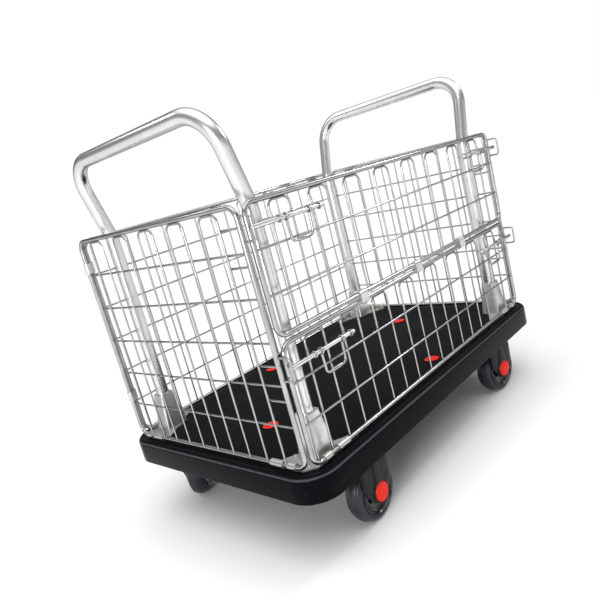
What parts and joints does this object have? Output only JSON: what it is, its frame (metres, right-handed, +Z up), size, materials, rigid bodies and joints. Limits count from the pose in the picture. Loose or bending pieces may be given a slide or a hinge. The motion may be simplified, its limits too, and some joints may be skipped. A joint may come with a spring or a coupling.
{
  "type": "folding platform cart",
  "caption": "Platform cart with a moulded deck, swivel casters, two tube handles and a wire cage whose front side folds down in two flaps.",
  "frame": {"origin": "on the floor under the middle of the deck", "axes": "+X along the deck, +Z up; the side with the two flaps faces -Y"},
  "size_m": [0.92, 0.58, 0.804],
  "materials": {
    "deck_plastic": "black moulded plastic, finely textured",
    "caster_plastic": "black moulded nylon, half gloss",
    "red_plastic": "red moulded plastic, half gloss",
    "hub_plastic": "dark grey moulded plastic",
    "tyre": "dark blue-grey rubber",
    "tube_steel": "satin zinc plated tube and sheet",
    "wire_steel": "satin zinc plated wire",
    "fastener_steel": "bright zinc plated"
  },
  "bodies": {
    "root": {"deck": "deck_plastic", "deck_plugs": "red_plastic", "corner_plate_front_left": "tube_steel", "corner_plate_front_right": "tube_steel", "corner_plate_rear_left": "tube_steel", "corner_plate_rear_right": "tube_steel", "plate_screws": "fastener_steel", "leg_shoe_front_left": "tube_steel", "leg_shoe_front_right": "tube_steel", "leg_shoe_rear_left": "tube_steel", "leg_shoe_rear_right": "tube_steel", "left_handle": "tube_steel", "right_handle": "tube_steel", "left_end_panel": "wire_steel", "right_end_panel": "wire_steel", "rear_panel": "wire_steel", "corner_clips": "wire_steel", "latch_keepers": "wire_steel", "caster_plate_front_left": "tube_steel", "caster_plate_front_right": "tube_steel", "caster_plate_rear_left": "tube_steel", "caster_plate_rear_right": "tube_steel", "caster_bolts": "fastener_steel"},
    "lower_flap": {"lower_flap": "wire_steel", "flap_clips": "wire_steel", "lower_latch_eyes": "wire_steel"},
    "upper_flap": {"upper_flap": "wire_steel", "upper_latch_eyes": "wire_steel"},
    "latch_lower_left": {"latch_rod_lower_left": "wire_steel"},
    "bail_lower_left": {"latch_bail_lower_left": "wire_steel"},
    "latch_lower_right": {"latch_rod_lower_right": "wire_steel"},
    "bail_lower_right": {"latch_bail_lower_right": "wire_steel"},
    "latch_upper_left": {"latch_rod_upper_left": "wire_steel"},
    "bail_upper_left": {"latch_bail_upper_left": "wire_steel"},
    "latch_upper_right": {"latch_rod_upper_right": "wire_steel"},
    "bail_upper_right": {"latch_bail_upper_right": "wire_steel"},
    "caster_front_left": {"caster_yoke_front_left": "caster_plastic", "caster_axle_front_left": "fastener_steel", "caster_caps_front_left": "red_plastic"},
    "wheel_front_left": {"wheel_hub_front_left": "hub_plastic", "tyre_front_left": "tyre"},
    "caster_front_right": {"caster_yoke_front_right": "caster_plastic", "caster_axle_front_right": "fastener_steel", "caster_caps_front_right": "red_plastic"},
    "wheel_front_right": {"wheel_hub_front_right": "hub_plastic", "tyre_front_right": "tyre"},
    "caster_rear_left": {"caster_yoke_rear_left": "caster_plastic", "caster_axle_rear_left": "fastener_steel", "caster_caps_rear_left": "red_plastic"},
    "wheel_rear_left": {"wheel_hub_rear_left": "hub_plastic", "tyre_rear_left": "tyre"},
    "caster_rear_right": {"caster_yoke_rear_right": "caster_plastic", "caster_axle_rear_right": "fastener_steel", "caster_caps_rear_right": "red_plastic"},
    "wheel_rear_right": {"wheel_hub_rear_right": "hub_plastic", "tyre_rear_right": "tyre"}
  },
  "joints": [
    {"name": "lower_flap_hinge", "type": "hinge", "parent": "root", "child": "lower_flap", "pos_m": [0, -0.263, 0.19], "axis": [1, 0, 0], "range_deg": [0, 90]},
    {"name": "upper_flap_hinge", "type": "hinge", "parent": "lower_flap", "child": "upper_flap", "pos_m": [0, -0.263, 0.41975], "axis": [1, 0, 0], "range_deg": [0, 135]},
    {"name": "latch_slide_lower_left", "type": "slide", "parent": "lower_flap", "child": "latch_lower_left", "axis": [-1, 0, 0], "range_m": [0, 0.011]},
    {"name": "bail_hinge_lower_left", "type": "hinge", "parent": "latch_lower_left", "child": "bail_lower_left", "pos_m": [-0.32575, -0.277, 0.37025], "axis": [-1, 0, 0], "range_deg": [0, 100]},
    {"name": "latch_slide_lower_right", "type": "slide", "parent": "lower_flap", "child": "latch_lower_right", "axis": [1, 0, 0], "range_m": [0, 0.011]},
    {"name": "bail_hinge_lower_right", "type": "hinge", "parent": "latch_lower_right", "child": "bail_lower_right", "pos_m": [0.32575, -0.277, 0.37025], "axis": [-1, 0, 0], "range_deg": [0, 100]},
    {"name": "latch_slide_upper_left", "type": "slide", "parent": "upper_flap", "child": "latch_upper_left", "axis": [-1, 0, 0], "range_m": [0, 0.011]},
    {"name": "bail_hinge_upper_left", "type": "hinge", "parent": "latch_upper_left", "child": "bail_upper_left", "pos_m": [-0.32575, -0.277, 0.6], "axis": [-1, 0, 0], "range_deg": [0, 100]},
    {"name": "latch_slide_upper_right", "type": "slide", "parent": "upper_flap", "child": "latch_upper_right", "axis": [1, 0, 0], "range_m": [0, 0.011]},
    {"name": "bail_hinge_upper_right", "type": "hinge", "parent": "latch_upper_right", "child": "bail_upper_right", "pos_m": [0.32575, -0.277, 0.6], "axis": [-1, 0, 0], "range_deg": [0, 100]},
    {"name": "caster_swivel_front_left", "type": "hinge", "parent": "root", "child": "caster_front_left", "pos_m": [-0.325, -0.245, 0.122], "axis": [0, 0, 1], "continuous": true},
    {"name": "wheel_spin_front_left", "type": "hinge", "parent": "caster_front_left", "child": "wheel_front_left", "pos_m": [-0.28702, -0.24367, 0.06], "axis": [0.0349, -0.9994, 0], "continuous": true},
    {"name": "caster_swivel_front_right", "type": "hinge", "parent": "root", "child": "caster_front_right", "pos_m": [0.325, -0.245, 0.122], "axis": [0, 0, 1], "continuous": true},
    {"name": "wheel_spin_front_right", "type": "hinge", "parent": "caster_front_right", "child": "wheel_front_right", "pos_m": [0.28737, -0.23971, 0.06], "axis": [0.1392, 0.9903, 0], "continuous": true},
    {"name": "caster_swivel_rear_left", "type": "hinge", "parent": "root", "child": "caster_rear_left", "pos_m": [-0.325, 0.245, 0.122], "axis": [0, 0, 1], "continuous": true},
    {"name": "wheel_spin_rear_left", "type": "hinge", "parent": "caster_rear_left", "child": "wheel_rear_left", "pos_m": [-0.35234, 0.2186, 0.06], "axis": [-0.6947, 0.7193, 0], "continuous": true},
    {"name": "caster_swivel_rear_right", "type": "hinge", "parent": "root", "child": "caster_rear_right", "pos_m": [0.325, 0.245, 0.122], "axis": [0, 0, 1], "continuous": true},
    {"name": "wheel_spin_rear_right", "type": "hinge", "parent": "caster_rear_right", "child": "wheel_rear_right", "pos_m": [0.36217, 0.2371, 0.06], "axis": [-0.2079, -0.9781, 0], "continuous": true}
  ]
}
